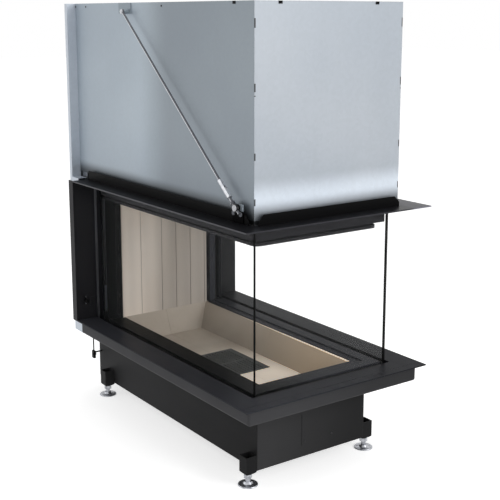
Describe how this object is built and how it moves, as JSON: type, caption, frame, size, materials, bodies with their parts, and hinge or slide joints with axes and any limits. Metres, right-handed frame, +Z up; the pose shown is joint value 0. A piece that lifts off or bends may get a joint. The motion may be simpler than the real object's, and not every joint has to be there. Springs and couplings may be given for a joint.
{
  "type": "fireplace insert",
  "caption": "Tall fireplace insert with a lifting three-sided glass door, galvanised casing, fireclay hearth, diagonal braces and levelling feet.",
  "frame": {"origin": "bottom centre of the bounding box, on the floor under the middle of the insert", "axes": "+Z up, -Y towards the short glazed end, +Y towards the closed rear, +X to the right seen from the glazed end"},
  "size_m": [0.741, 1.25, 1.527],
  "materials": {
    "black_steel": "matt black heat-proof paint",
    "galvanised": "galvanised sheet steel",
    "zinc": "bright zinc plated",
    "clear_glass": "clear ceramic glass",
    "black_seal": "matt black",
    "fireclay": "matt cream fireclay",
    "cast_iron": "bare cast iron"
  },
  "bodies": {
    "root": {"air_inlet_spigot": "black_steel", "apron": "black_steel", "back_wall_boards": "fireclay", "baffle_board": "fireclay", "base_front_panel": "black_steel", "base_shell": "black_steel", "bed_frame": "black_steel", "bed_plate": "black_steel", "brace_brackets": "black_steel", "brace_rods": "zinc", "casing_clips": "black_steel", "casing_front": "galvanised", "casing_sides": "galvanised", "cross_bars": "galvanised", "deck_plate": "black_steel", "door_gasket": "black_seal", "door_rails": "galvanised", "firebox_back": "black_steel", "flue_collar": "black_steel", "foot_tubes": "black_steel", "head_plate": "black_steel", "header_frame": "black_steel", "hood": "black_steel", "jamb_posts": "black_steel", "pulley_hangers": "galvanised", "rear_housing": "galvanised", "rope_door_runs": "zinc", "rope_turns": "zinc", "rope_weight_runs": "zinc", "side_plates": "black_steel", "sill_cover": "black_steel", "sill_plate": "black_steel", "small_screws": "zinc", "stone_retainer": "black_steel", "trough_stones_front": "fireclay", "trough_stones_rear": "fireclay", "upstands": "black_steel", "weight_guides": "galvanised"},
    "door": {"glass_front": "clear_glass", "glass_sides": "clear_glass", "glass_corner_seals": "black_seal", "door_top_frame": "black_steel", "door_stiles": "black_steel", "door_hangers": "zinc", "door_runners": "zinc"},
    "weight_left": {"counterweight_left": "cast_iron"},
    "weight_right": {"counterweight_right": "cast_iron"},
    "wheel_left": {"pulley_left": "zinc"},
    "wheel_right": {"pulley_right": "zinc"},
    "level_front_left": {"foot_front_left": "zinc"},
    "level_front_right": {"foot_front_right": "zinc"},
    "level_rear_left": {"foot_rear_left": "zinc"},
    "level_rear_right": {"foot_rear_right": "zinc"},
    "air_control": {"air_rod": "zinc", "air_knob": "black_steel"},
    "air_shaft": {"air_crank": "zinc"},
    "sleeve_left": {"turnbuckle_left": "zinc"},
    "sleeve_right": {"turnbuckle_right": "zinc"},
    "grate_body": {"grate": "cast_iron"},
    "pan_body": {"ash_pan": "black_steel"}
  },
  "joints": [
    {"name": "door_lift", "type": "slide", "parent": "root", "child": "door", "axis": [0, 0, 1], "range_m": [0, 0.5], "deforming": ["rope_door_runs"]},
    {"name": "weight_left_drop", "type": "slide", "parent": "root", "child": "weight_left", "axis": [0, 0, 1], "range_m": [-0.5, 0], "deforming": ["rope_weight_runs"]},
    {"name": "weight_right_drop", "type": "slide", "parent": "root", "child": "weight_right", "axis": [0, 0, 1], "range_m": [-0.5, 0]},
    {"name": "pulley_left_turn", "type": "hinge", "parent": "root", "child": "wheel_left", "pos_m": [-0.24, 0.5305, 1.47], "axis": [1, 0, 0], "range_deg": [-695, 0]},
    {"name": "pulley_right_turn", "type": "hinge", "parent": "root", "child": "wheel_right", "pos_m": [0.24, 0.5305, 1.47], "axis": [1, 0, 0], "range_deg": [-695, 0]},
    {"name": "air_control_slide", "type": "slide", "parent": "root", "child": "air_control", "axis": [0, 0, 1], "range_m": [-0.012, 0.012]},
    {"name": "air_shaft_turn", "type": "hinge", "parent": "root", "child": "air_shaft", "pos_m": [-0.25, 0.595, 0.154], "axis": [1, 0, 0], "range_deg": [-36, 36]},
    {"name": "turnbuckle_left_turn", "type": "hinge", "parent": "root", "child": "sleeve_left", "pos_m": [-0.315, 0.189, 1.497], "axis": [0, -0.762, -0.6476], "continuous": true},
    {"name": "turnbuckle_right_turn", "type": "hinge", "parent": "root", "child": "sleeve_right", "pos_m": [0.315, 0.189, 1.497], "axis": [0, -0.762, -0.6476], "continuous": true},
    {"name": "level_front_left_turn", "type": "hinge", "parent": "root", "child": "level_front_left", "pos_m": [-0.247, -0.4566, 0], "axis": [0, 0, 1], "continuous": true},
    {"name": "level_front_right_turn", "type": "hinge", "parent": "root", "child": "level_front_right", "pos_m": [0.247, -0.4566, 0], "axis": [0, 0, 1], "continuous": true},
    {"name": "level_rear_left_turn", "type": "hinge", "parent": "root", "child": "level_rear_left", "pos_m": [-0.247, 0.51, 0], "axis": [0, 0, 1], "continuous": true},
    {"name": "level_rear_right_turn", "type": "hinge", "parent": "root", "child": "level_rear_right", "pos_m": [0.247, 0.51, 0], "axis": [0, 0, 1], "continuous": true},
    {"name": "grate_lift_out", "type": "slide", "parent": "root", "child": "grate_body", "axis": [0, 0, 1], "range_m": [0, 0.14]},
    {"name": "ash_pan_lift_out", "type": "slide", "parent": "root", "child": "pan_body", "axis": [0, 0, 1], "range_m": [0, 0.085]}
  ],
  "couplings": [
    {"joint": "weight_left_drop", "follows": "door_lift", "ratio": -1},
    {"joint": "weight_right_drop", "follows": "door_lift", "ratio": -1},
    {"joint": "pulley_left_turn", "follows": "door_lift", "rad_per_m": -24.096},
    {"joint": "pulley_right_turn", "follows": "door_lift", "rad_per_m": -24.096},
    {"joint": "air_shaft_turn", "follows": "air_control_slide", "rad_per_m": -50},
    {"joint": "ash_pan_lift_out", "follows": "grate_lift_out", "ratio": 0.6}
  ]
}
